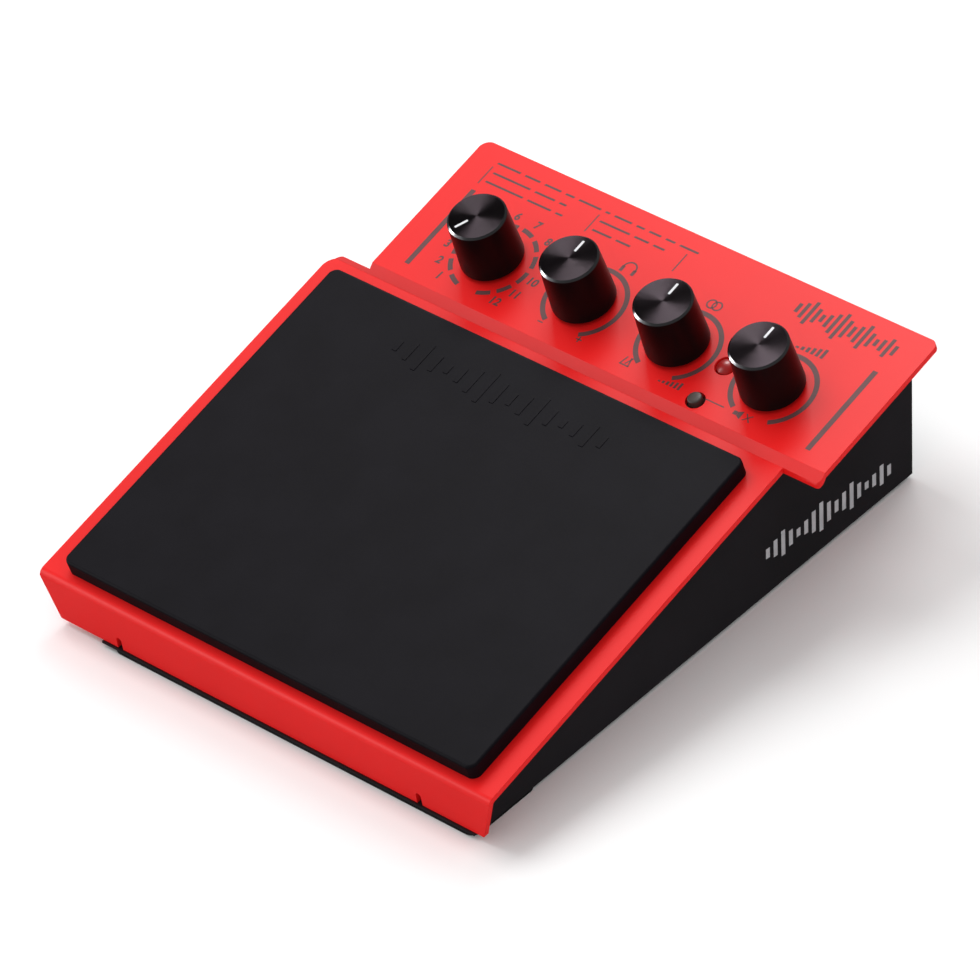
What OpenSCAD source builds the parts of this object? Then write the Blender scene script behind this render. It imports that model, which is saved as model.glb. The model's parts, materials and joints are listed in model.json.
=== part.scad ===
// Compact electronic drum pad: a folded, painted sheet with an offset
// striking deck and control panel, on a narrow wedge-shaped chassis.
// Millimetres, +Z up, front at -Y, standing on z = 0.

/* [Overall] */
// width over the deck's left edge and the panel's right edge
body_w = 160; // [140:1:180]
// depth of the folded sheet, front lip to rear edge
sheet_d = 157.4; // [150:0.2:175]
// height of the front fold above the table
front_h = 15.7; // [14:0.1:20]
// slope of the deck and the panel, degrees
slope = 13.4; // [11:0.1:16]

/* [Folded sheet] */
// sheet thickness
sheet_t = 1.6; // [1.2:0.1:2]
// how far the panel starts inside the deck's left edge
panel_in = 12.8; // [10:0.1:16]
// how far the deck ends inside the panel's right edge
deck_in = 11.6; // [9:0.1:15]
// height of the joggle between deck and panel
step_h = 1.77; // [1.2:0.01:2.5]
// where the joggle starts
step_y = 110.8; // [100:0.1:120]
// length of the joggle's ramp
step_l = 2.1; // [1.5:0.1:3]
// setback of the lip's lower edge
lip_back = 1.03; // [0:0.01:2]
// height of the lip's lower edge above the table
lip_z = 1.9; // [1.5:0.1:3]
// taper of each end of the lip
lip_taper = 4.15; // [2:0.05:6]
// outer radius of the front fold
fold_r = 2; // [1.7:0.1:3]

/* [Striking rubber] */
// thickness of the rubber
rubber_t = 4.5; // [3:0.1:6]
// margin at each side of the rubber
rubber_side = 6.7; // [5:0.1:10]
// margin in front of the rubber
rubber_front = 3.3; // [2.5:0.1:6]
// depth of the rubber along the level
rubber_d = 103.1; // [90:0.1:105]
// corner radius of the rubber
rubber_r = 2.5; // [1:0.1:6]

/* [Chassis] */
// width of the chassis
chassis_w = 123; // [120:0.5:126]
// wall thickness
wall = 2; // [1.6:0.1:2.5]
// thickness of the feet
foot_t = 1.15; // [1:0.05:2]
// reach of the chassis floor behind the sheet's rear edge
rear_reach = 6.6; // [5:0.1:9]
// lean of the rear wall, degrees
rear_lean = 6; // [4:0.1:8]
// height of the ledge behind the panel
ledge_z = 41.5; // [38:0.1:42.5]

/* [Controls] */
// first control's distance from the chassis' left side
knob_x0 = 22.2; // [19.5:0.1:25]
// spacing of the four controls
knob_pitch = 30.4; // [28:0.1:30.6]
// control row's distance from the front
knob_y = 127.8; // [126:0.1:132]
// top radius of a knob
knob_r = 7.75; // [7.6:0.05:9]
// radius of a knob at its skirt
knob_r2 = 8.4; // [8.2:0.05:9.5]
// knob top above the panel
knob_h = 16.3; // [15:0.1:18]
// shaft radius
shaft_r = 3; // [2.8:0.05:3.1]
// radial clearance of a shaft in its bushing
shaft_gap = 0.05; // [0.03:0.01:0.1]
// push button's distance from the front
button_y = 116; // [115.5:0.1:118]
// radius of the push button
button_r = 1.9; // [1.7:0.1:2.1]

/* [Sockets] */
// socket centre height along the rear wall
socket_h = 15.3; // [15.3:0.1:18]
// bore radius of a large jack socket
jack_r = 3.2; // [3.18:0.01:3.3]
// bore radius of a small jack socket
mini_r = 1.78; // [1.76:0.01:1.85]

/* [Hidden] */
$fn = 48;

ts = tan(slope);
cs = cos(slope);
ss = sin(slope);
deck_w = body_w - deck_in;
x_ch = (body_w - chassis_w) / 2;
y_rear = sheet_d + rear_reach;
rear_top_y = y_rear + (ledge_z - foot_t) * tan(rear_lean);
floor_z = foot_t + 1.8;
knob_x = [for (i = [0:3]) x_ch + knob_x0 + i * knob_pitch];
button_x = (knob_x[2] + knob_x[3]) / 2;
nut_out = 2.4;
nut_r = 6.5;
jack_x = [for (i = [0:2]) x_ch + 16.5 + i * 15.8];
mini_x = [x_ch + 60.7, x_ch + 70.1];
inlet_x = x_ch + 80.1;
switch_x = x_ch + 92.9;
usb_x = x_ch + 107.1;
bush_r = shaft_r + 0.5;
ribbon_x = x_ch + 57.5;
ribbon_y = knob_y + 12.7;
board_h = 7.8;
reach_jack = y_rear + (socket_h + 4.5) * sin(rear_lean) + 3.3 * cos(rear_lean);
total_d = max(rear_top_y, reach_jack);
pot_h = 8;
bay_w = 64;
bay_d = 63;
bay_x = (body_w - bay_w) / 2;
bay_y = 38;
x_ce = x_ch + chassis_w;
post_xy = [[x_ch + 6, 30], [x_ce - 6, 30], [x_ch + 6, step_y - 6.8],
  [x_ce - 6, step_y - 6.8], [x_ch + wall + 3.3, sheet_d - wall - 5.4],
  [x_ce - wall - 3.5, sheet_d - wall - 5.4]];
clamp_x = 72;
clamp_y = 20;
clamp_cy = step_y + 9.2;

function deck_z(y) = front_h + y * ts;
function panel_z(y) = deck_z(y) + step_h;
function arc(c, r, a0, a1, n) =
  [for (i = [0:n]) c + r * [cos(a0 + (a1 - a0) * i / n), sin(a0 + (a1 - a0) * i / n)]];

// everything is drawn from the deck's front left corner, then centred
module home() {
  translate([-body_w / 2, -(total_d + fold_at[0] - fold_r) / 2, 0]) children();
}

// side profile (y, z) drawn out along X from x0 to x1
module side_slab(x0, x1, pts) {
  translate([x0, 0, 0])
    rotate([90, 0, 90])
      linear_extrude(height = x1 - x0) polygon(pts);
}

module on_panel(x, y) {
  translate([x, y, panel_z(y)]) rotate([slope, 0, 0]) children();
}

module on_deck(x, y) {
  translate([x, y, deck_z(y)]) rotate([slope, 0, 0]) children();
}

// frame of the rear wall: local Y points out of the wall's outer face
module on_rear(x, h) {
  translate([x, y_rear, foot_t])
    rotate([-rear_lean, 0, 0])
      translate([0, 0, h]) children();
}

module along_y(r, y0, y1) {
  translate([0, y0, 0]) rotate([-90, 0, 0]) cylinder(r = r, h = y1 - y0);
}

module box(x0, x1, y0, y1, z0, z1) {
  translate([x0, y0, z0]) cube([x1 - x0, y1 - y0, z1 - z0]);
}

// rectangle with corner radii, from exact arcs
module round_rect(w, d, r) {
  difference() {
    square([w, d]);
    for (i = [0, 1]) for (j = [0, 1])
      translate([i * w, j * d]) scale([i == 0 ? 1 : -1, j == 0 ? 1 : -1])
        difference() {
          translate([-1, -1]) square(r + 1);
          translate([r - 0.03, r - 0.03]) circle(r);
        }
  }
}

// removes a square corner outside radius r; q turns it to its quadrant
module corner_cut(x, y, r, q) {
  translate([x, y]) rotate(q)
    difference() {
      translate([-1, -1]) square(r + 1);
      translate([r - 0.03, r - 0.03]) circle(r);
    }
}

// ---- folded sheet ----
lip_a = atan(lip_back / (front_h - lip_z));
bend = 90 + lip_a - slope;

// outer faces of the sheet, from the lip's lower edge over the fold
lip_dir = [-sin(lip_a), cos(lip_a)];
deck_dir = [cs, ss];
lip_n = [cos(lip_a), sin(lip_a)];
deck_n = [ss, -cs];
fold_tan = fold_r * tan(bend / 2);
corner = [0, front_h];
fold_at = corner - lip_dir * fold_tan + lip_n * fold_r;

function sheet_line(t) = concat(
  [[lip_back, lip_z] + lip_n * t],
  arc(fold_at, fold_r - t, 180 + lip_a, 90 + slope, 14),
  [[step_y, deck_z(step_y)] + deck_n * t,
   [step_y + step_l, panel_z(step_y + step_l)] + deck_n * t,
   [sheet_d, panel_z(sheet_d)] + deck_n * t]);

function back(v) = [for (i = [len(v) - 1:-1:0]) v[i]];

module sheet_plan() {
  difference() {
    polygon([[0, -3], [deck_w, -3], [deck_w, step_y], [body_w, step_y],
      [body_w, sheet_d + 3], [panel_in, sheet_d + 3],
      [panel_in, step_y + 0.9], [0, step_y + 0.9]]);
    corner_cut(0, step_y + 0.9, 4.5, -90);
    corner_cut(body_w, step_y, 1.8, 90);
  }
}

module panel_corners() {
  on_panel(0, sheet_d) translate([0, 0, -8]) linear_extrude(height = 12) {
    corner_cut(panel_in, 0, 3, -90);
    corner_cut(body_w, 0, 2.2, 180);
  }
}

module top_cover() {
  color([0.93, 0.2, 0.19]) home() difference() {
    intersection() {
      side_slab(0, body_w, concat(sheet_line(0), back(sheet_line(sheet_t))));
      linear_extrude(height = 80) sheet_plan();
    }
    panel_corners();
    // tapered ends of the lip
    translate([0, 4, 0]) rotate([90, 0, 0]) linear_extrude(height = 6) {
      polygon([[-1, front_h - 1.3], [0, front_h - 1.3], [lip_taper, lip_z],
        [lip_taper, -1], [-1, -1]]);
      polygon([[deck_w + 1, front_h - 1.3], [deck_w, front_h - 1.3],
        [deck_w - lip_taper, lip_z], [deck_w - lip_taper, -1],
        [deck_w + 1, -1]]);
      // two small drain notches in the lip's lower edge
      for (x = [24.6, deck_w - 24.6]) {
        translate([x - 0.85, -1]) square([1.7, lip_z + 3.7]);
        translate([x, lip_z + 2.7]) circle(r = 0.85);
      }
    }
    for (x = knob_x)
      on_panel(x, knob_y) translate([0, 0, -3]) cylinder(r = bush_r + 0.1, h = 5);
    on_panel(button_x, button_y) translate([0, 0, -3]) cylinder(r = 2.6, h = 5);
    on_panel(button_x, knob_y) translate([0, 0, -3]) cylinder(r = 2.7, h = 5);
    on_panel(button_x, knob_y) translate([0, 0, -0.7])
      cylinder(r1 = 2.7, r2 = 3, h = 0.8);
  }
}

module pad_rubber() {
  color([0.13, 0.13, 0.14]) home()
    on_deck(rubber_side, rubber_front)
      linear_extrude(height = rubber_t)
        round_rect(deck_w - 2 * rubber_side, rubber_d / cs, rubber_r);
}

// ---- chassis ----
function under(y) = deck_z(y) - sheet_t / cs;
function under_p(y) = panel_z(y) - sheet_t / cs;

module cover_space(x0, x1, y0, y1) {
  side_slab(x0, x1, [[y0, floor_z], [y1, floor_z], [y1, under_p(y1)],
    [step_y + step_l + 1, under_p(step_y + step_l + 1)],
    [step_y + sheet_t * ss, under(step_y + sheet_t * ss)], [y0, under(y0)]]);
}

module chassis() {
  color([0.13, 0.12, 0.14]) home() difference() {
    union() {
      side_slab(x_ch, x_ch + chassis_w, [[3, foot_t], [y_rear, foot_t],
        [rear_top_y, ledge_z], [sheet_d - 0.4, ledge_z],
        [sheet_d - 0.4, under_p(sheet_d - 0.4)],
        [step_y + step_l + 1, under_p(step_y + step_l + 1)],
        [step_y + sheet_t * ss, under(step_y + sheet_t * ss)], [3, under(3)]]);
      box(x_ch, x_ch + chassis_w, 0.55, 3.5, foot_t, foot_t + 0.6);
    }
    side_slab(x_ch + wall, x_ch + chassis_w - wall, [[3 + wall, floor_z],
      [y_rear + (floor_z - foot_t) * tan(rear_lean) - wall / cos(rear_lean), floor_z],
      [rear_top_y - 2 * tan(rear_lean) - wall / cos(rear_lean), ledge_z - 2],
      [sheet_d - 0.4 - wall, ledge_z - 2], [sheet_d - 0.4 - wall, 80],
      [3 + wall, 80]]);
    box(bay_x + 1, bay_x + bay_w - 1, bay_y + 1, bay_y + bay_d - 1, 0, 5);
    for (p = post_xy) translate([p[0], p[1], foot_t - 0.1]) {
      cylinder(r = 1.6, h = 5);
      translate([0, 0, -0.1]) cylinder(r1 = 3.25, r2 = 1.6, h = 1.65);
    }
    for (i = [-1, 1]) for (j = [-1, 1])
      translate([body_w / 2 + i * clamp_x / 2, clamp_cy + j * clamp_y / 2, 0])
        cylinder(r = 4.55, h = 5);
    for (x = jack_x) on_rear(x, socket_h) along_y(4.6, -4, 2);
    for (x = mini_x) on_rear(x, socket_h) along_y(3.1, -4, 2);
    on_rear(inlet_x, socket_h) along_y(4.7, -4, 2);
    on_rear(switch_x, socket_h) box(-4.6, 4.6, -4, 2, -2.4, 2.4);
    on_rear(usb_x, socket_h) box(-6.3, 6.3, -4, 2, -5.8, 5.8);
  }
}

module front_foot() {
  color([0.1, 0.1, 0.1]) home()
    translate([x_ch + 3, 0.7, 0]) linear_extrude(height = foot_t)
      round_rect(chassis_w - 3.3, 23, 3);
}

module rear_foot() {
  color([0.1, 0.1, 0.1]) home()
    translate([body_w / 2 - 40, y_rear - 11, 0]) linear_extrude(height = foot_t)
      round_rect(80, 8, 3);
}

module cover_posts() {
  color([0.7, 0.7, 0.72]) home() difference() {
    intersection() {
      for (p = post_xy) translate([p[0], p[1], floor_z]) cylinder(r = 3.2, h = 60);
      cover_space(x_ch, x_ch + chassis_w, 6, sheet_d - 1);
    }
    for (p = post_xy) translate([p[0], p[1], floor_z - 1]) cylinder(r = 1.55, h = 8);
  }
}

module base_screws() {
  color([0.3, 0.3, 0.32]) home()
    for (p = post_xy) translate([p[0], p[1], foot_t]) difference() {
      union() {
        cylinder(r1 = 3, r2 = 1.5, h = 1.5);
        translate([0, 0, 1.5]) cylinder(r = 1.5, h = 6);
      }
      for (a = [0, 90]) rotate(a) box(-1.5, 1.5, -0.3, 0.3, -1, 0.8);
    }
}

module clamp_bushes() {
  color([0.72, 0.62, 0.36]) home()
    for (i = [-1, 1]) for (j = [-1, 1])
      translate([body_w / 2 + i * clamp_x / 2, clamp_cy + j * clamp_y / 2, 0])
        difference() {
          union() {
            translate([0, 0, foot_t]) cylinder(r = 4.5, h = 7);
            translate([0, 0, floor_z]) cylinder(r = 6, h = 1.4);
          }
          cylinder(r = 2.5, h = 12);
        }
}

// ---- battery bay ----
module battery_tray() {
  color([0.16, 0.16, 0.17]) home() difference() {
    box(bay_x, bay_x + bay_w, bay_y, bay_y + bay_d, floor_z, floor_z + 17);
    box(bay_x + 1.5, bay_x + bay_w - 1.5, bay_y + 1.5, bay_y + bay_d - 1.5,
      floor_z - 1, floor_z + 15.5);
  }
}

module battery_door() {
  color([0.15, 0.15, 0.16]) home() {
    box(bay_x + 1.3, bay_x + bay_w - 1.3, bay_y + 1.3, bay_y + bay_d - 1.3,
      foot_t, floor_z - 0.3);
  }
}

module battery_cells() {
  color([0.75, 0.62, 0.3]) home()
    for (i = [0:3])
      translate([bay_x + (i % 2 == 0 ? 7.5 : 7.3), bay_y + 9 + i * 15, floor_z + 7.7])
        rotate([0, 90, 0]) {
          cylinder(r = 7.15, h = 49.2);
          translate([0, 0, i % 2 == 0 ? 49.2 : -1.2]) cylinder(r = 2.7, h = 1.2);
        }
}

module battery_contacts() {
  color([0.8, 0.8, 0.8]) home()
    for (i = [0:3]) for (s = [0, 1])
      translate([s == 0 ? bay_x + 1.5 : bay_x + bay_w - 1.5, bay_y + 9 + i * 15,
        floor_z + 7.7]) rotate([0, s == 0 ? 90 : -90, 0]) {
          translate([-5, -5, 0]) cube([10, 10, 0.4]);
          translate([0, 0, 0.4]) cylinder(r1 = 4, r2 = 2.4,
            h = (i + s) % 2 == 0 ? 5.6 : 4.2);
        }
}

// ---- strike sensor under the deck ----
sensor_x = deck_w / 2;
sensor_y = rubber_front + rubber_d / 2 + 3.15;

module sensor_foam() {
  color([0.2, 0.2, 0.22]) home()
    on_deck(sensor_x, sensor_y) translate([0, 0, -sheet_t - 2])
      cylinder(r = 12, h = 2);
}

module sensor_disc() {
  color([0.8, 0.66, 0.3]) home()
    on_deck(sensor_x, sensor_y) translate([0, 0, -sheet_t - 2.6])
      cylinder(r = 13.5, h = 0.6);
}

module sensor_lead() {
  color([0.7, 0.1, 0.1]) home()
    on_deck(sensor_x, sensor_y) translate([0, 0, -sheet_t - 3.3])
      along_y(0.7, 0, (step_y + 4 - sensor_y) / cs);
}

// ---- controls ----
module main_board() {
  color([0.1, 0.32, 0.16]) home()
    on_panel(0, knob_y) difference() {
      box(knob_x[0] - 9.7, x_ce - wall - 0.8, -12.5, 15.5,
        -sheet_t - pot_h - 1.6, -sheet_t - pot_h);
      for (x = [-6.7, 43.3]) translate([knob_x[0] + x, 12.5, -sheet_t - 12.4]) cylinder(r = 1.6, h = 6);
    }
}

module board_chips() {
  color([0.08, 0.08, 0.09]) home()
    on_panel(0, knob_y) {
      z = -sheet_t - pot_h - 1.6;
      k = knob_x[0];
      box(k + 9.3, k + 23.3, -8, 6, z - 1.4, z);
      box(k + 29.3, k + 41.3, -6, 0, z - 1.2, z);
      box(k + 71.3, k + 81.3, 2, 9, z - 1.2, z);
    }
}

module control_body(w, d) {
  difference() {
    union() {
      box(-w / 2, w / 2, -d / 2, d / 2, -sheet_t - pot_h, -sheet_t);
      translate([0, 0, -sheet_t - 1]) cylinder(r = bush_r, h = sheet_t + 5);
    }
    translate([0, 0, -sheet_t - pot_h + 0.8])
      cylinder(r = shaft_r + shaft_gap, h = 20);
  }
}

module level_pots() {
  color([0.55, 0.55, 0.57]) home()
    for (i = [1:3]) on_panel(knob_x[i], knob_y) control_body(12.4, 13);
}

module kit_selector() {
  color([0.35, 0.36, 0.38]) home()
    on_panel(knob_x[0], knob_y) control_body(14, 15);
}

module control_washers() {
  color([0.75, 0.75, 0.76]) home()
    for (x = knob_x) on_panel(x, knob_y) difference() {
      cylinder(r = bush_r + 2.5, h = 0.5);
      translate([0, 0, -1]) cylinder(r = bush_r + 0.1, h = 3);
    }
}

module control_nuts() {
  color([0.75, 0.75, 0.76]) home()
    for (x = knob_x) on_panel(x, knob_y) translate([0, 0, 0.5]) difference() {
      cylinder(r = bush_r + 2.1, h = 2, $fn = 6);
      translate([0, 0, -1]) cylinder(r = bush_r + 0.05, h = 4);
    }
}

module one_shaft(i) {
  on_panel(knob_x[i], knob_y) translate([0, 0, -sheet_t - pot_h + 0.9])
    cylinder(r = shaft_r, h = 12.9 + sheet_t + pot_h - 0.9);
}

module selector_shaft() {
  color([0.7, 0.7, 0.7]) home() one_shaft(0);
}

module level_shaft_a() {
  color([0.7, 0.7, 0.7]) home() one_shaft(1);
}

module level_shaft_b() {
  color([0.7, 0.7, 0.7]) home() one_shaft(2);
}

module level_shaft_c() {
  color([0.7, 0.7, 0.7]) home() one_shaft(3);
}

module one_knob(i) {
  on_panel(knob_x[i], knob_y) difference() {
    union() {
      translate([0, 0, 1]) cylinder(r1 = knob_r2, r2 = knob_r, h = knob_h - 1.5);
      translate([0, 0, knob_h - 0.5])
        cylinder(r1 = knob_r, r2 = knob_r - 0.45, h = 0.5);
    }
    cylinder(r = bush_r + 3.1, h = 5.2);
    cylinder(r = shaft_r + 0.03, h = 13);
  }
}

module selector_knob() {
  color([0.12, 0.12, 0.13]) home() one_knob(0);
}

module level_knob_a() {
  color([0.12, 0.12, 0.13]) home() one_knob(1);
}

module level_knob_b() {
  color([0.12, 0.12, 0.13]) home() one_knob(2);
}

module level_knob_c() {
  color([0.12, 0.12, 0.13]) home() one_knob(3);
}

module stop_button() {
  color([0.3, 0.3, 0.31]) home() on_panel(button_x, button_y) {
    translate([0, 0, -sheet_t - 3.6]) cylinder(r = button_r, h = sheet_t + 4.9);
    translate([0, 0, -sheet_t - 1.3]) difference() {
      cylinder(r = 2.95, h = 1);
      translate([0, 0, -1]) cylinder(r = button_r - 0.2, h = 3);
    }
  }
}

module stop_switch() {
  color([0.5, 0.5, 0.52]) home() on_panel(button_x, button_y) {
    box(-3, 3, -3, 3, -sheet_t - pot_h, -sheet_t - 5);
    translate([0, 0, -sheet_t - 5.2]) cylinder(r = 1.75, h = 0.9);
  }
}

module indicator_led() {
  color([0.85, 0.12, 0.1]) home() on_panel(button_x, knob_y) {
    z = -sheet_t - pot_h;
    translate([0, 0, z]) cylinder(r = 2.9, h = 1);
    translate([0, 0, z]) cylinder(r = 2.5, h = -sheet_t - 0.3 - z);
    intersection() {
      translate([0, 0, -sheet_t - 0.4]) cylinder(r = 2.5, h = 4);
      translate([0, 0, -sheet_t - 0.3]) sphere(r = 2.9);
      translate([-4, -4, -sheet_t - 0.35]) cube([8, 8, 6]);
    }
  }
}

// ---- sockets on the rear wall ----
module jack_board() {
  color([0.1, 0.32, 0.16]) home()
    on_rear(0, 0) box(x_ch + 8.8, x_ce - 9, min(-35, ribbon_y - 5 - y_rear),
      -wall - 0.6, board_h - 1.6, board_h);
}

module jack_board_posts() {
  color([0.7, 0.7, 0.72]) home() difference() {
    for (x = [20, 37, 90.5]) on_rear(x_ch + x, 0) translate([0, -6, 0])
      cylinder(r = 2.4, h = board_h - 1.6);
    box(0, body_w, 0, 200, -5, floor_z);
  }
}

module large_jacks() {
  color([0.1, 0.1, 0.11]) home()
    for (x = jack_x) on_rear(x, socket_h) difference() {
      union() {
        box(-7.4, 7.4, -32, -wall, -socket_h + board_h, 7);
        along_y(4.5, -wall - 0.5, 3.3);
      }
      along_y(jack_r, -30, 5);
    }
}

module small_jacks() {
  color([0.1, 0.1, 0.11]) home()
    for (x = mini_x) on_rear(x, socket_h) difference() {
      union() {
        box(-4.2, 4.2, -17, -wall, -socket_h + board_h, 4.2);
        along_y(3, -wall - 0.5, 2.2);
      }
      along_y(mini_r, -15.5, 5);
    }
}

module jack_nuts() {
  color([0.75, 0.75, 0.76]) home() {
    for (x = jack_x) on_rear(x, socket_h) difference() {
      along_y(nut_r, 0, nut_out);
      along_y(4.55, -1, 6);
    }
    for (x = mini_x) on_rear(x, socket_h) difference() {
      along_y(4.4, 0, 1.5);
      along_y(3.05, -1, 6);
    }
  }
}

module power_inlet() {
  color([0.1, 0.1, 0.11]) home()
    on_rear(inlet_x, socket_h) difference() {
      union() {
        box(-4.8, 4.8, -14.5, -wall, -socket_h + board_h, 5);
        along_y(4.6, -wall - 0.5, 0.2);
      }
      along_y(2.85, -11, 5);
    }
}

module power_inlet_pin() {
  color([0.8, 0.8, 0.8]) home()
    on_rear(inlet_x, socket_h) along_y(1.05, -11, -1.5);
}

module usb_socket() {
  color([0.72, 0.72, 0.73]) home()
    on_rear(usb_x, socket_h) difference() {
      union() {
        box(-6, 6, -18, -wall, -socket_h + board_h, 5.5);
        box(-6, 6, -wall - 1, 0.3, -5.5, 5.5);
      }
      box(-4.25, 4.25, -16.5, 2, -3.9, 3.9);
    }
}

module usb_tongue() {
  color([0.9, 0.9, 0.88]) home()
    on_rear(usb_x, socket_h) box(-2.8, 2.8, -16.5, -6.5, -1.5, 1.5);
}

module power_switch() {
  color([0.12, 0.12, 0.13]) home()
    on_rear(switch_x, socket_h) difference() {
      box(-7, 7, -12, -wall, -socket_h + board_h, 5);
      box(-4.6, 4.6, -7, 0, -2.3, 2.3);
    }
}

module power_slider() {
  color([0.2, 0.2, 0.2]) home()
    on_rear(switch_x, socket_h) box(-3.9, 0.1, -6.6, 1.8, -1.9, 1.9);
}

module ribbon_cable() {
  color([0.6, 0.6, 0.62]) home()
    box(ribbon_x, ribbon_x + 22, ribbon_y - 0.5, ribbon_y + 0.3,
      foot_t + (y_rear - ribbon_y) * sin(rear_lean)
      + (board_h + 3.4) * cos(rear_lean) + 0.25,
      panel_z(ribbon_y) - (sheet_t + pot_h + 5) * cs - 1.14);
}

module ribbon_plugs() {
  color([0.9, 0.9, 0.88]) home() {
    on_rear(ribbon_x, 0) box(-1, 23, ribbon_y - 3 - y_rear,
      ribbon_y + 2.5 - y_rear, board_h, board_h + 3.4);
    on_panel(ribbon_x, ribbon_y) box(-1, 23, -3, 3, -sheet_t - pot_h - 1.6 - 3.4,
      -sheet_t - pot_h - 1.6);
  }
}

top_cover();
pad_rubber();
chassis();
front_foot();
rear_foot();
cover_posts();
base_screws();
clamp_bushes();
battery_tray();
battery_door();
battery_cells();
battery_contacts();
sensor_foam();
sensor_disc();
sensor_lead();
main_board();
board_chips();
level_pots();
kit_selector();
control_washers();
control_nuts();
selector_shaft();
level_shaft_a();
level_shaft_b();
level_shaft_c();
selector_knob();
level_knob_a();
level_knob_b();
level_knob_c();
stop_button();
stop_switch();
indicator_led();
jack_board();
jack_board_posts();
large_jacks();
small_jacks();
jack_nuts();
power_inlet();
power_inlet_pin();
usb_socket();
usb_tongue();
power_switch();
power_slider();
ribbon_cable();
ribbon_plugs();
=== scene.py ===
import json
import math

import bmesh
import bpy
from mathutils import Matrix, Vector


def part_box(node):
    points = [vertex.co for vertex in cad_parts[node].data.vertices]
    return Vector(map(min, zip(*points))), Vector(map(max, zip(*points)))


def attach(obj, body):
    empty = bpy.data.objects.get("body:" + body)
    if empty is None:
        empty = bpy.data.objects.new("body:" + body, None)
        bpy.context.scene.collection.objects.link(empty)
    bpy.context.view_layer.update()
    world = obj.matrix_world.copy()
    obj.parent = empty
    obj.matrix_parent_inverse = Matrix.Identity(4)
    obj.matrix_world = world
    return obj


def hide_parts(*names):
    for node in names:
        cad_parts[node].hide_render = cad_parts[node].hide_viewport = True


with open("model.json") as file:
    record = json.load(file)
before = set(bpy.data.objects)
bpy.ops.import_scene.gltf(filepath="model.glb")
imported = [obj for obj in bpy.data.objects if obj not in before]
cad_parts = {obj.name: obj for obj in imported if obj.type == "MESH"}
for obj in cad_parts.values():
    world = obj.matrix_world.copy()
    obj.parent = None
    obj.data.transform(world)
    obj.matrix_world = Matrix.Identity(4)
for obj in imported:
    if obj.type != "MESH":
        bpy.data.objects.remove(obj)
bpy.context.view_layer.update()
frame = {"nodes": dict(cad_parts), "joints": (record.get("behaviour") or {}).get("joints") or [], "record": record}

MM = 0.001
scene = bpy.context.scene
joints = {j["name"]: j for j in frame["joints"]}


# ---------------------------------------------------------------- camera and light

def place(kind, name, at, right, up, back):
    """A camera or lamp at a point, with its three directions."""
    item = bpy.data.objects.new(name, kind)
    scene.collection.objects.link(item)
    turn = Matrix((right, up, back)).transposed().to_4x4()
    item.matrix_world = Matrix.Translation(at) @ turn
    return item


def directions(azimuth, elevation, roll=0.0):
    """Right, up and back of something that looks at the object."""
    a, e, r = (math.radians(v) for v in (azimuth, elevation, roll))
    back = Vector((math.sin(a) * math.cos(e), -math.cos(a) * math.cos(e), math.sin(e)))
    level = Vector((math.cos(a), math.sin(a), 0))
    rise = back.cross(level)
    right = level * math.cos(r) + rise * math.sin(r)
    up = rise * math.cos(r) - level * math.sin(r)
    return right, up, back


def make_camera():
    """The product picture's camera: long lens, front right, a little rolled."""
    right, up, back = directions(46.514, 38.848, -7.654)
    aim = Vector((0, 0.01526, 0.025)) - right * 0.01304 - up * 0.01065
    lens = bpy.data.cameras.new("product_camera")
    lens.sensor_width = 36.0
    lens.lens = 275.6
    lens.shift_x = -0.0039
    lens.shift_y = -0.0016
    lens.clip_start = 0.1
    lens.clip_end = 30.0
    lens.dof.use_dof = False
    scene.camera = place(lens, "product_camera", aim + back * 1.8413, right, up, back)


def softbox(name, azimuth, elevation, reach, wide, high, power, lights="all"):
    """An area lamp that looks at the object, for matt light, for shine, or for both."""
    right, up, back = directions(azimuth, elevation)
    lamp = bpy.data.lights.new(name, "AREA")
    lamp.shape = "RECTANGLE"
    lamp.size = wide
    lamp.size_y = high
    lamp.energy = power
    aim = Vector((0, 0.02, 0.03))
    item = place(lamp, name, aim + back * reach, right, up, back)
    item.visible_glossy = lights != "body"
    item.visible_diffuse = lights != "shine"


def light_the_studio():
    """A bright room for matt light that shows only dimly in shiny surfaces."""
    world = bpy.data.worlds.new("studio_sky")
    world.use_nodes = True
    sky = world.node_tree.nodes["Background"]
    sky.inputs["Color"].default_value = (1.0, 1.0, 1.0, 1)
    ray = world.node_tree.nodes.new("ShaderNodeLightPath")
    level = world.node_tree.nodes.new("ShaderNodeMapRange")
    level.inputs["To Min"].default_value = 0.72
    level.inputs["To Max"].default_value = 0.1
    world.node_tree.links.new(ray.outputs["Is Glossy Ray"], level.inputs["Value"])
    world.node_tree.links.new(level.outputs["Result"], sky.inputs["Strength"])
    world.cycles.sampling_method = "NONE"
    scene.world = world
    softbox("key_from_rear", 205, 50, 1.5, 0.7, 0.7, 5, lights="body")
    softbox("key_shine", 215, 52, 1.5, 0.6, 0.6, 24, lights="shine")
    softbox("side_from_left", 275, 60, 1.5, 0.8, 0.8, 10, lights="body")
    softbox("low_card", 302, 4, 1.5, 0.9, 0.14, 7, lights="shine")
    softbox("fold_card", 320, 27, 1.5, 0.45, 0.3, 6, lights="shine")
    scene.view_settings.view_transform = "Standard"
    scene.view_settings.look = "None"


make_camera()
light_the_studio()


# ---------------------------------------------------------------- finishes

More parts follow.
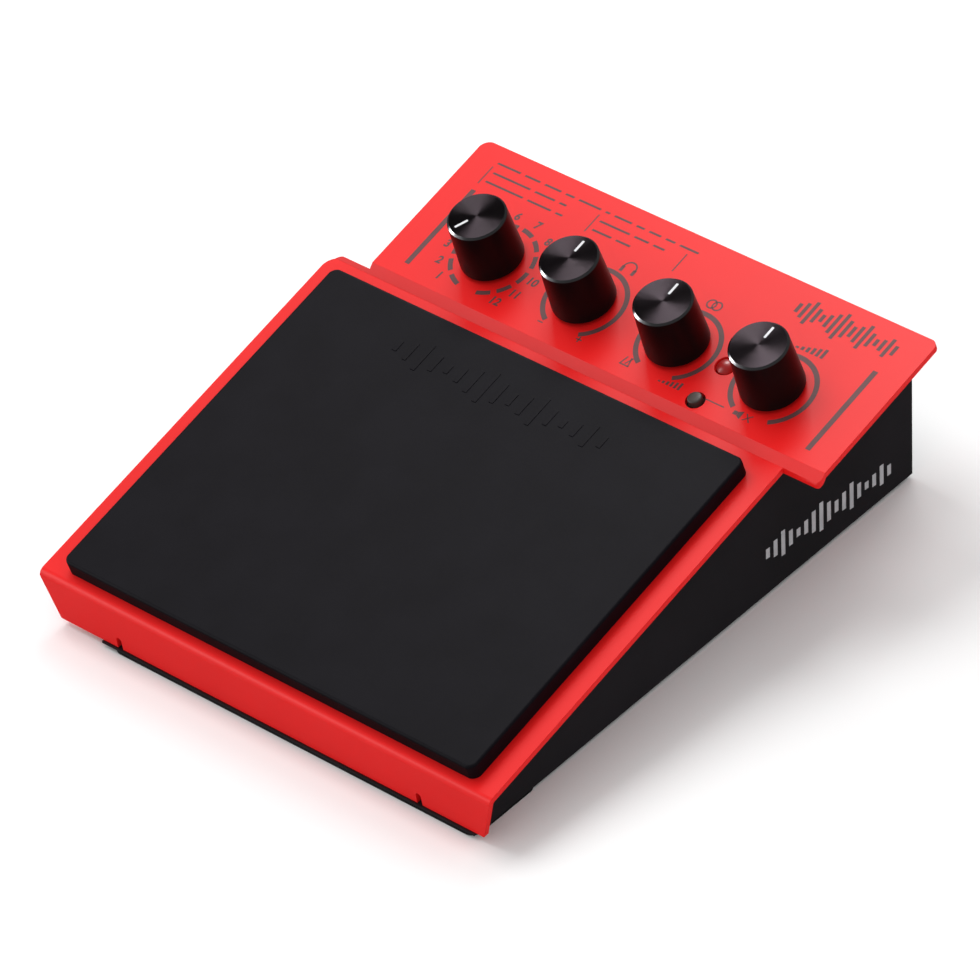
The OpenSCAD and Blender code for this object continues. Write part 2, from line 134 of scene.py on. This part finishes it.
def finish(name, colour, second, rough, metal=0.0, grain=0.3, depth=0.01,
           cloud=9.0, specular=0.5, rough_swing=0.06, coat=0.0):
    """A finish with a fine grain, slow colour drift and uneven gloss. Sizes in mm."""
    m = bpy.data.materials.new(name)
    m.use_nodes = True
    nodes, links = m.node_tree.nodes, m.node_tree.links
    shader = nodes["Principled BSDF"]
    shader.inputs["Metallic"].default_value = metal
    shader.inputs["Specular IOR Level"].default_value = specular
    shader.inputs["Coat Weight"].default_value = coat
    shader.inputs["Coat Roughness"].default_value = 0.15
    where = nodes.new("ShaderNodeTexCoord")
    drift = nodes.new("ShaderNodeTexNoise")
    drift.inputs["Scale"].default_value = 1000 / cloud
    drift.inputs["Detail"].default_value = 4
    links.new(where.outputs["Object"], drift.inputs["Vector"])
    ramp = nodes.new("ShaderNodeValToRGB")
    ramp.color_ramp.elements[0].position = 0.35
    ramp.color_ramp.elements[0].color = (*colour, 1)
    ramp.color_ramp.elements[1].position = 0.65
    ramp.color_ramp.elements[1].color = (*second, 1)
    links.new(drift.outputs["Fac"], ramp.inputs["Fac"])
    links.new(ramp.outputs["Color"], shader.inputs["Base Color"])
    fine = nodes.new("ShaderNodeTexNoise")
    fine.inputs["Scale"].default_value = 1000 / grain
    fine.inputs["Detail"].default_value = 2
    links.new(where.outputs["Object"], fine.inputs["Vector"])
    gloss = nodes.new("ShaderNodeMapRange")
    gloss.inputs["To Min"].default_value = rough - rough_swing
    gloss.inputs["To Max"].default_value = rough + rough_swing
    links.new(fine.outputs["Fac"], gloss.inputs["Value"])
    links.new(gloss.outputs["Result"], shader.inputs["Roughness"])
    bump = nodes.new("ShaderNodeBump")
    bump.inputs["Strength"].default_value = 1.0
    bump.inputs["Distance"].default_value = depth * MM
    links.new(fine.outputs["Fac"], bump.inputs["Height"])
    links.new(bump.outputs["Normal"], shader.inputs["Normal"])
    return m


def spun_metal():
    """Black anodised aluminium with the fine rings that a lathe leaves."""
    m = finish("spun_black_aluminium", (0.018, 0.014, 0.016), (0.022, 0.017, 0.02),
               0.3, metal=1.0, grain=0.2, depth=0.0)
    nodes, links = m.node_tree.nodes, m.node_tree.links
    shader = nodes["Principled BSDF"]
    shader.inputs["Anisotropic"].default_value = 0.85
    shader.inputs["Anisotropic Rotation"].default_value = 0.0
    around = nodes.new("ShaderNodeTangent")
    around.direction_type = "UV_MAP"
    around.uv_map = "round"
    links.new(around.outputs["Tangent"], shader.inputs["Tangent"])
    lay = nodes.new("ShaderNodeUVMap")
    lay.uv_map = "round"
    rings = nodes.new("ShaderNodeTexWave")
    rings.wave_type = "BANDS"
    rings.bands_direction = "Y"
    rings.inputs["Scale"].default_value = 14
    rings.inputs["Distortion"].default_value = 0.0
    links.new(lay.outputs["UV"], rings.inputs["Vector"])
    bump = next(n for n in nodes if n.type == "BUMP")
    bump.inputs["Distance"].default_value = 0.003 * MM
    links.new(rings.outputs["Fac"], bump.inputs["Height"])
    return m


def green_board():
    """Solder mask with copper tracks under it."""
    m = finish("green_board", (0.012, 0.13, 0.045), (0.016, 0.16, 0.055), 0.3,
               grain=0.5, depth=0.004)
    nodes, links = m.node_tree.nodes, m.node_tree.links
    where = next(n for n in nodes if n.type == "TEX_COORD")
    tracks = nodes.new("ShaderNodeTexBrick")
    tracks.inputs["Scale"].default_value = 260
    tracks.inputs["Mortar Size"].default_value = 0.04
    tracks.inputs["Color1"].default_value = (0.012, 0.13, 0.045, 1)
    tracks.inputs["Color2"].default_value = (0.016, 0.15, 0.05, 1)
    tracks.inputs["Mortar"].default_value = (0.03, 0.26, 0.08, 1)
    links.new(where.outputs["Object"], tracks.inputs["Vector"])
    links.new(tracks.outputs["Color"], nodes["Principled BSDF"].inputs["Base Color"])
    return m


def tinted_lamp():
    m = finish("red_lamp", (0.34, 0.005, 0.005), (0.4, 0.006, 0.006), 0.4,
               grain=0.8, depth=0.002, coat=0.05)
    shader = m.node_tree.nodes["Principled BSDF"]
    shader.inputs["Subsurface Weight"].default_value = 0.3
    shader.inputs["Subsurface Scale"].default_value = 0.001
    shader.inputs["Emission Color"].default_value = (1.0, 0.02, 0.01, 1)
    shader.inputs["Emission Strength"].default_value = 0.04
    return m


RED = finish("red_powder_coat", (0.80, 0.009, 0.009), (0.83, 0.010, 0.010), 0.42,
             grain=0.35, depth=0.006, cloud=30, specular=0.2)
RUBBER = finish("pad_rubber", (0.0046, 0.0036, 0.0062), (0.0058, 0.0048, 0.0078), 0.6,
                grain=0.28, depth=0.02, cloud=14, specular=0.09)
CASE = finish("black_powder_coat", (0.0115, 0.0088, 0.0115), (0.015, 0.0115, 0.0155), 0.5,
              grain=0.3, depth=0.02, cloud=22, specular=0.3)
FOOT = finish("foot_rubber", (0.008, 0.008, 0.008), (0.012, 0.012, 0.012), 0.8,
              grain=0.4, depth=0.03, specular=0.2)
PLASTIC = finish("black_moulding", (0.012, 0.012, 0.013), (0.017, 0.017, 0.018), 0.45,
                 grain=0.35, depth=0.012, specular=0.4)
KNOB_SIDE = finish("knob_side", (0.003, 0.0027, 0.003), (0.004, 0.0037, 0.004), 0.34,
                   grain=0.3, depth=0.004, specular=0.12)
KNOB_TOP = spun_metal()
KNOB_EDGE = finish("knob_bright_edge", (0.2, 0.2, 0.21), (0.25, 0.25, 0.26), 0.18,
                   metal=1.0, grain=0.2, depth=0.001)
POINTER = finish("white_pointer", (0.62, 0.62, 0.64), (0.7, 0.7, 0.72), 0.4,
                 grain=0.2, depth=0.002)
PRINT = finish("grey_print", (0.115, 0.046, 0.048), (0.13, 0.054, 0.056), 0.5,
               grain=0.15, depth=0.002, cloud=3, specular=0.2)
PALE_PRINT = finish("pale_print", (0.42, 0.42, 0.44), (0.48, 0.48, 0.5), 0.5,
                    grain=0.15, depth=0.002, cloud=3)
BUTTON = finish("grey_button", (0.05, 0.035, 0.03), (0.062, 0.044, 0.038), 0.5,
                grain=0.25, depth=0.006)
LAMP = tinted_lamp()
STEEL = finish("plated_steel", (0.55, 0.55, 0.56), (0.64, 0.64, 0.65), 0.3, metal=1.0,
               grain=0.2, depth=0.004, cloud=4)
BLACK_ZINC = finish("black_zinc", (0.035, 0.035, 0.037), (0.055, 0.055, 0.057), 0.38,
                    metal=1.0, grain=0.2, depth=0.004, cloud=3)
BRASS = finish("brass", (0.66, 0.46, 0.18), (0.74, 0.54, 0.24), 0.28, metal=1.0,
               grain=0.2, depth=0.003, cloud=3)
CELL = finish("cell_wrap", (0.42, 0.26, 0.07), (0.5, 0.32, 0.09), 0.25, grain=2.0,
              depth=0.002, coat=0.4)
FOAM = finish("grey_foam", (0.05, 0.05, 0.055), (0.08, 0.08, 0.085), 0.95, grain=0.5,
              depth=0.15, specular=0.1)
LEAD = finish("red_lead", (0.5, 0.02, 0.02), (0.6, 0.03, 0.03), 0.4)
BOARD = green_board()
CHIP = finish("chip_black", (0.012, 0.012, 0.012), (0.02, 0.02, 0.02), 0.55)
RIBBON = finish("grey_ribbon", (0.25, 0.25, 0.27), (0.33, 0.33, 0.35), 0.45, grain=1.2,
                depth=0.05)
WHITE = finish("white_moulding", (0.7, 0.7, 0.66), (0.78, 0.78, 0.74), 0.4)

SLOT_FINISH = {
    "red_paint": RED, "pad_black": RUBBER, "case_black": CASE, "foot_rubber": FOOT,
    "zinc_steel": STEEL, "black_screw": BLACK_ZINC, "brass": BRASS,
    "black_plastic": PLASTIC, "cell_wrap": CELL, "foam_grey": FOAM, "lead_red": LEAD,
    "board_green": BOARD, "chip_black": CHIP, "knob_black": KNOB_SIDE,
    "button_grey": BUTTON, "led_red": LAMP, "ribbon_grey": RIBBON,
    "white_plastic": WHITE,
}
node_slot = {s["node"]: s["material_slot"] for s in frame["record"]["subparts"]}
for node, item in frame["nodes"].items():
    item.data.materials.clear()
    item.data.materials.append(SLOT_FINISH[node_slot[node]])


# ---------------------------------------------------------------- making pieces

node_body = {n: b for b, ns in frame["record"]["behaviour"]["bodies"].items() for n in ns}


def piece(name, bm, materials, body, stands_for=(), smooth=40, even=True):
    """Turns a bmesh into a finished piece that rides on a body."""
    mesh = bpy.data.meshes.new(name)
    bm.to_mesh(mesh)
    bm.free()
    for m in materials:
        mesh.materials.append(m)
    mesh.shade_smooth()
    mesh.set_sharp_from_angle(angle=math.radians(smooth))
    item = bpy.data.objects.new(name, mesh)
    scene.collection.objects.link(item)
    if even:
        normals = item.modifiers.new("even_shading", "WEIGHTED_NORMAL")
        normals.keep_sharp = True
    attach(item, body)
    if stands_for:
        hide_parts(*stands_for)
    return item


def frame_at(point, normal):
    """Right, uphill and outward directions of a sloping face, as a matrix."""
    out = Vector(normal).normalized()
    right = Vector((1, 0, 0))
    uphill = out.cross(right).normalized()
    turn = Matrix((right, uphill, out)).transposed().to_4x4()
    return Matrix.Translation(Vector(point)) @ turn


def solid_of(node):
    """A merged copy of a node's mesh, with its flat faces made whole."""
    bm = bmesh.new()
    bm.from_mesh(frame["nodes"][node].data)
    bmesh.ops.remove_doubles(bm, verts=bm.verts, dist=3e-6)
    bmesh.ops.dissolve_limit(bm, angle_limit=math.radians(0.4), verts=bm.verts,
                             edges=bm.edges)
    return bm


def round_edges(bm, edges, radius, steps):
    bmesh.ops.bevel(bm, geom=edges, offset=radius * MM, offset_type="OFFSET",
                    affect="EDGES", segments=steps, profile=0.5, material=-1,
                    clamp_overlap=True, loop_slide=True)


def sharp(bm, least=28.0, pick=lambda e: True):
    return [e for e in bm.edges if len(e.link_faces) == 2
            and e.calc_face_angle() > math.radians(least) and pick(e)]


def along_x(e):
    d = e.verts[1].co - e.verts[0].co
    return abs(d.y) < 2e-6 and abs(d.z) < 2e-6 and abs(d.x) > 5e-4


def soften(node, name, radius, steps=2, least=28.0):
    """The node's own shape with its edges broken."""
    bm = solid_of(node)
    round_edges(bm, sharp(bm, least), radius, steps)
    slot = node_slot[node]
    return piece(name, bm, [SLOT_FINISH[slot]], node_body[node], [node])


def fold_the_sheet():
    """The painted top sheet, with soft bends at its step and broken edges."""
    bm = solid_of("top_cover")
    joggle = [e for e in bm.edges if len(e.link_faces) == 2 and along_x(e)
              and math.radians(25) < e.calc_face_angle() < math.radians(42)
              and e.verts[0].co.y > 0]
    round_edges(bm, joggle, 1.9, 7)
    round_edges(bm, sharp(bm, 50), 0.35, 3)
    piece("folded_sheet", bm, [RED], "case", ["top_cover"], smooth=50)


def mould_the_pad():
    """The striking rubber, with its upper edges rounded."""
    bm = solid_of("pad_rubber")
    out = panel_normal

    def on_top(e):
        return all(f.normal.dot(out) > -0.5 for f in e.link_faces)
    round_edges(bm, sharp(bm, 60, on_top), 0.8, 5)
    piece("striking_pad", bm, [RUBBER], "case", ["pad_rubber"])


def spin_profile(bm, outline, steps=96):
    """A solid of revolution round Z from (radius, height) points in mm."""
    verts = [bm.verts.new((r * MM, 0, z * MM)) for r, z in outline]
    edges = [bm.edges.new(pair) for pair in zip(verts, verts[1:])]
    bmesh.ops.spin(bm, geom=verts + edges, cent=(0, 0, 0), axis=(0, 0, 1),
                   angle=2 * math.pi, steps=steps, use_merge=True)
    bmesh.ops.remove_doubles(bm, verts=bm.verts, dist=1e-7)
    bmesh.ops.recalc_face_normals(bm, faces=bm.faces)


def lay_round(bm):
    """A map whose U runs round the axis and whose V runs outwards, in mm."""
    lay = bm.loops.layers.uv.new("round")
    for face in bm.faces:
        middle = face.calc_center_median()
        at = math.atan2(middle.y, middle.x)
        for loop in face.loops:
            p = loop.vert.co
            r = math.hypot(p.x, p.y)
            turn = math.atan2(p.y, p.x) if r > 1e-6 else at
            turn += 2 * math.pi * round((at - turn) / (2 * math.pi))
            loop[lay].uv = (turn / (2 * math.pi), r / MM)


def turn_a_knob(letter, joint, knob, pointer_turn):
    """A lathe-turned knob with a hollow underside, a bright chamfer and a pointer."""
    place_it = frame_at(joint["pos_m"], joint["axis"])
    body = joint["child"]
    rings = [(r, 16.3) for r in (0, 1, 2.2, 3.6, 5, 6.2, 7.1, 7.22)]
    outline = rings + [(7.46, 16.06), (7.73, 15.79), (7.9, 12.4),
                       (8.15, 6.8), (8.36, 1.45), (8.33, 1.2), (8.2, 1.06),
                       (8.0, 1.0), (6.8, 1.0), (6.6, 1.2), (6.6, 5.2), (3.03, 5.2),
                       (3.03, 13.0), (0, 13.0)]
    bm = bmesh.new()
    spin_profile(bm, outline)
    lay_round(bm)
    for face in bm.faces:
        middle = face.calc_center_median()
        r, z = math.hypot(middle.x, middle.y) / MM, middle.z / MM
        if z > 16.2 and r < 7.2:
            face.material_index = 1
        elif z > 15.8 and r < 7.75:
            face.material_index = 2
    bm.transform(place_it)
    piece(f"knob_{letter}", bm, [KNOB_SIDE, KNOB_TOP, KNOB_EDGE], body,
          [knob], smooth=24)
    bm = bmesh.new()
    bmesh.ops.create_cube(bm, size=1.0)
    bmesh.ops.scale(bm, vec=(0.66 * MM, 3.7 * MM, 0.07 * MM), verts=bm.verts)
    upright = [e for e in bm.edges if abs(e.verts[0].co.z - e.verts[1].co.z) > 1e-6]
    round_edges(bm, upright, 0.2, 3)
    bmesh.ops.translate(bm, vec=(0, 4.25 * MM, 16.3 * MM), verts=bm.verts)
    bmesh.ops.rotate(bm, cent=(0, 0, 0), verts=bm.verts,
                     matrix=Matrix.Rotation(-pointer_turn, 3, "Z"))
    bm.transform(place_it)
    piece(f"pointer_{letter}", bm, [POINTER], body, even=False)


# ---------------------------------------------------------------- printing

INK = 0.02  # mm that the ink stands above the paint, and as much below
SELECTOR_X = 40.7  # mm from the deck's left edge to the selector's axis
DIAL_STEP = 28  # degrees between two positions of the selector
DIAL_END = 154  # degrees from straight up to the first and the last position
LEVEL_END = 150  # degrees from straight up to a level control's end stops


def ink_box(bm, x0, x1, y0, y1, ink=INK, lean=0.0):
    """A printed bar, in mm, with an italic lean."""
    made = bmesh.ops.create_cube(bm, size=1.0)["verts"]
    bmesh.ops.scale(bm, vec=((x1 - x0) * MM, (y1 - y0) * MM, 2 * ink * MM), verts=made)
    bmesh.ops.translate(bm, vec=((x0 + x1) / 2 * MM, (y0 + y1) / 2 * MM, 0), verts=made)
    for v in made:
        v.co.x += (v.co.y - y0 * MM) * lean
    return made


def ink_arc(bm, cx, cy, radius, wide, start, end, steps):
    """A printed arc from start to end, in degrees clockwise from the back."""
    a = math.radians(start)
    section = ((radius - wide / 2, -INK), (radius + wide / 2, -INK),
               (radius + wide / 2, INK), (radius - wide / 2, INK))
    ends = [bm.verts.new((cx * MM + r * MM * math.sin(a), cy * MM + r * MM * math.cos(a),
                          z * MM)) for r, z in section]
    if end - start < 360:
        outline = [bm.faces.new(ends)]
    else:
        outline = ends + [bm.edges.new((ends[i - 1], ends[i])) for i in range(4)]
    bmesh.ops.spin(bm, geom=outline, cent=(cx * MM, cy * MM, 0), axis=(0, 0, -1),
                   angle=math.radians(end - start), steps=steps,
                   use_merge=end - start == 360)
    bmesh.ops.recalc_face_normals(bm, faces=bm.faces)


def ink_number(bm, words, cx, cy, size, lean):
    """A printed number, centred at a point, in mm."""
    curve = bpy.data.curves.new("number", "FONT")
    curve.body = words
    curve.size = size * MM
    curve.shear = lean
    curve.align_x = "CENTER"
    curve.align_y = "CENTER"
    curve.extrude = INK * MM
    curve.offset = 0.11 * MM
    curve.resolution_u = 4
    text = bpy.data.objects.new("number", curve)
    scene.collection.objects.link(text)
    bpy.context.view_layer.update()
    seen = text.evaluated_get(bpy.context.evaluated_depsgraph_get())
    mesh = bpy.data.meshes.new_from_object(seen)
    mesh.transform(Matrix.Translation((cx * MM, cy * MM, 0)))
    bm.from_mesh(mesh)
    bmesh.ops.remove_doubles(bm, verts=bm.verts, dist=2e-6)
    bmesh.ops.dissolve_degenerate(bm, dist=1e-6, edges=bm.edges)
    bpy.data.objects.remove(text)
    bpy.data.curves.remove(curve)
    bpy.data.meshes.remove(mesh)


def printed(name, bm, place_it):
    """Moves a print onto the panel and makes it a piece."""
    bm.transform(place_it)
    piece(name, bm, [PRINT], "case", even=False, smooth=30)


# heights of the bars of the wave sign, to be scaled to the size wanted
WAVE = (3.2, 5.4, 8.2, 5.0, 2.6, 4.4, 7.0, 9.4, 6.2, 3.8, 5.8, 8.6, 4.8, 2.4, 4.0,
        6.6, 3.4)


def wave_mark(bm, x0, x1, middle, tall, share, ink=INK):
    """A row of bars like a sound wave."""
    pitch = (x1 - x0) / len(WAVE)
    for i, h in enumerate(WAVE):
        half = h / max(WAVE) * tall / 2
        left = x0 + (i + (1 - share) / 2) * pitch
        ink_box(bm, left, left + share * pitch, middle - half, middle + half, ink)


def print_the_panel():
    """Rings, numbers, side bars, legend lines and the wave sign on the panel."""
    at = frame_at(joints["selector_turn"]["pos_m"], panel_normal)
    pitch = (Vector(joints["level_turn_a"]["pos_m"])
             - Vector(joints["selector_turn"]["pos_m"])).length / MM
    bm = bmesh.new()
    for i in range(12):
        middle = -DIAL_END + DIAL_STEP * i
        ink_arc(bm, 0, 0, 11.1, 1.3, middle - 10, middle + 10, 7)
    printed("selector_ring", bm, at)
    bm = bmesh.new()
    turns = (-139, -118, -96, -69, -41, -13.5, 13.5, 41, 69, 96, 118, 139)
    for i, turn in enumerate(turns):
        a = math.radians(turn)
        ink_number(bm, str(i + 1), 14.2 * math.sin(a), 14.2 * math.cos(a), 3.3, 0.08)
    printed("selector_numbers", bm, at)
    bm = bmesh.new()
    for k in (1, 2, 3):
        ink_arc(bm, k * pitch, 0, 10.8, 1.35, -LEVEL_END, LEVEL_END, 72)
    printed("level_rings", bm, at)
    bm = bmesh.new()
    x0 = SELECTOR_X
    ink_box(bm, 20.4 - x0, 21.9 - x0, -11.5, 15.6)
    ink_box(bm, 150.8 - x0, 152.3 - x0, -11.5, 15.9)
    printed("panel_bars", bm, at)
    bm = bmesh.new()
    ink_box(bm, 64.2 - x0, 65.8 - x0, -10.7, -10.35)
    ink_box(bm, 76.8 - x0, 78.6 - x0, -10.7, -10.35)
    ink_box(bm, 77.5 - x0, 77.9 - x0, -11.4, -9.65)
    ink_box(bm, 118.9 - x0, 124.6 - x0, -10.8, -10.45)
    printed("plus_and_minus", bm, at)
    bm = bmesh.new()
    for x in (20.4, 56.0, 84.8):
        ink_box(bm, x - x0, x + 0.35 - x0, 17.9, 24.0)
    words = {
        25.2: (21.0, 7.6, 5.0, 5.4, 2.8, 7.2, 1.4, 5.6, 2.6, 3.8, 3.0, 6.0),
        22.1: (22.0, 12.4, 6.6, 2.2),
        19.0: (22.0, 12.4, 7.8, 2.2),
    }
    for y, row in words.items():
        x = row[0]
        for w in row[1:]:
            ink_box(bm, x - x0, x + w - x0, y, y + 0.6, lean=0.2)
            x += w + 1.6
    for y, row in {22.1: (57.6, 9.8, 4.6, 3.6), 19.0: (57.6, 6.2, 4.6)}.items():
        x = row[0]
        for w in row[1:]:
            ink_box(bm, x - x0, x + w - x0, y, y + 0.6, lean=0.2)
            x += w + 1.6
    printed("legend_lines", bm, at)
    bm = bmesh.new()
    wave_mark(bm, 120.5 - x0, 152.5 - x0, 23.2, 8.6, 0.55)
    printed("panel_wave_mark", bm, at)
    print_the_signs(at, x0)


def print_the_signs(at, x0):
    """Plain signs beside the controls: headphones, blend, level, beat and mute."""
    bm = bmesh.new()
    hx, hy = 74.6 - x0, 13.6
    ink_arc(bm, hx, hy, 1.9, 0.45, -100, 100, 16)
    ink_box(bm, hx - 2.3, hx - 1.35, hy - 1.7, hy + 0.1)
    ink_box(bm, hx + 1.35, hx + 2.3, hy - 1.7, hy + 0.1)
    for dx in (-0.85, 0.85):
        ink_arc(bm, 101.8 - x0 + dx, 14.1, 1.3, 0.42, 0, 360, 28)
    for i in range(6):
        ink_box(bm, 128.6 - x0 + i * 1.5, 129.5 - x0 + i * 1.5, 12.8, 13.4 + 0.48 * i)
        ink_box(bm, 104.2 - x0 + i * 1.2, 104.9 - x0 + i * 1.2, -11.7, -11.3 + 0.38 * i)
    bx = 93.2 - x0
    ink_box(bm, bx - 1.4, bx + 1.4, -11.8, -11.4)
    ink_box(bm, bx - 1.5, bx - 1.1, -11.7, -9.0, lean=0.25)
    ink_box(bm, bx + 1.1, bx + 1.5, -11.7, -9.0, lean=-0.25)
    ink_box(bm, bx - 0.2, bx + 0.2, -11.2, -8.9, lean=0.5)
    mx = 127.6 - x0
    ink_box(bm, mx, mx + 1.2, -11.2, -10.0)
    horn = ink_box(bm, mx + 1.26, mx + 2.6, -11.2, -10.0)
    for v in horn:
        if v.co.x > (mx + 2) * MM:
            v.co.y += math.copysign(0.7 * MM, v.co.y + 10.6 * MM)
    ink_box(bm, mx + 3.3, mx + 3.75, -11.7, -9.5, lean=0.9)
    ink_box(bm, mx + 5.3, mx + 5.75, -11.7, -9.5, lean=-0.9)
    printed("control_signs", bm, at)


def mark_the_pad():
    """The wave sign raised on the rubber near its rear edge."""
    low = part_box("pad_rubber")[0]
    up = panel_normal
    corners = [v.co for v in frame["nodes"]["pad_rubber"].data.vertices]
    highest = max(corners, key=lambda c: c.dot(up))
    rear_top = max((c for c in corners if (c - highest).dot(up) > -1e-5),
                   key=lambda c: c.y)
    at = frame_at((low.x, rear_top.y, rear_top.z), up)
    bm = bmesh.new()
    wave_mark(bm, 30.4, 101.6, -12.6, 10.2, 0.34, ink=0.16)
    upright = sharp(bm, 60)
    round_edges(bm, upright, 0.12, 2)
    bm.transform(at)
    piece("pad_wave_mark", bm, [RUBBER], "case")


def mark_the_side():
    """The wave sign printed on the case's right side."""
    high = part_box("chassis")[1]
    out = Vector((1, 0, 0))
    lean = math.radians(-6)
    along = Vector((0, math.cos(lean), math.sin(lean)))
    up = out.cross(along)
    turn = Matrix((along, up, out)).transposed().to_4x4()
    at = Matrix.Translation((high.x, 0.048, 0.0104)) @ turn
    bm = bmesh.new()
    wave_mark(bm, -24.5, 24.5, 0, 8.4, 0.5)
    bm.transform(at)
    piece("side_wave_mark", bm, [PALE_PRINT], "case", even=False)


# ---------------------------------------------------------------- small parts

def cap_the_button():
    """The button with a rounded cap, built downwards from the top of its node."""
    axis = Vector(joints["button_press"]["axis"]) * -1
    corners = [v.co for v in frame["nodes"]["stop_button"].data.vertices]
    tip = max(c.dot(axis) for c in corners)
    ring = [c for c in corners if tip - c.dot(axis) < 1e-5]
    centre = sum(ring, Vector()) / len(ring)
    bm = bmesh.new()
    spin_profile(bm, [(0, 0), (0.9, -0.01), (1.35, -0.05), (1.66, -0.14), (1.83, -0.3),
                      (1.9, -0.55), (1.9, -3.2), (2.8, -3.2), (2.95, -3.35),
                      (2.95, -4.05), (2.8, -4.2), (1.9, -4.2), (1.9, -6.4),
                      (1.8, -6.5), (0, -6.5)], 48)
    bm.transform(frame_at(centre, axis))
    piece("button_cap", bm, [BUTTON], "button", ["stop_button"])


def make_the_lamp():
    soften("indicator_led", "panel_lamp", 0.05, 2, 40)


def cut_the_foam():
    """The soft disc between the deck and the sensor."""
    bm = solid_of("sensor_foam")
    round_edges(bm, sharp(bm, 50), 0.5, 3)
    item = piece("sensor_foam_disc", bm, [FOAM], "case", ["sensor_foam"])


panel_normal = Vector(joints["selector_turn"]["axis"]).normalized()

fold_the_sheet()
mould_the_pad()
for letter, joint_name, node, turn in (
        ("selector", "selector_turn", "selector_knob", math.radians(-DIAL_END)),
        ("a", "level_turn_a", "level_knob_a", 0.0),
        ("b", "level_turn_b", "level_knob_b", 0.0),
        ("c", "level_turn_c", "level_knob_c", 0.0)):
    turn_a_knob(letter, joints[joint_name], node, turn)
cap_the_button()
make_the_lamp()
cut_the_foam()
print_the_panel()
mark_the_pad()
mark_the_side()
for node, name, radius in (
        ("chassis", "wedge_case", 0.25),
        ("front_foot", "front_strip", 0.25),
        ("rear_foot", "rear_strip", 0.25),
        ("battery_door", "door_panel", 0.2),
        ("base_screws", "base_screw_set", 0.08),
        ("clamp_bushes", "clamp_bush_set", 0.15),
        ("jack_nuts", "socket_nuts", 0.25),
        ("large_jacks", "large_socket_set", 0.15),
        ("small_jacks", "small_socket_set", 0.12),
        ("power_inlet", "inlet_body", 0.15),
        ("usb_socket", "data_socket", 0.12),
        ("power_switch", "switch_body", 0.12),
        ("power_slider", "switch_slider", 0.15)):
    soften(node, name, radius)


# ---------------------------------------------------------------- floor

bm = bmesh.new()
bmesh.ops.create_grid(bm, x_segments=1, y_segments=1, size=6.0)
floor_mesh = bpy.data.meshes.new("floor")
bm.to_mesh(floor_mesh)
bm.free()
floor_mesh.materials.append(finish("pale_floor", (0.93, 0.93, 0.93), (0.94, 0.94, 0.94),
                                   0.9, grain=5, depth=0.0, cloud=400, specular=0.05))
floor = bpy.data.objects.new("floor", floor_mesh)
scene.collection.objects.link(floor)
floor.visible_glossy = False
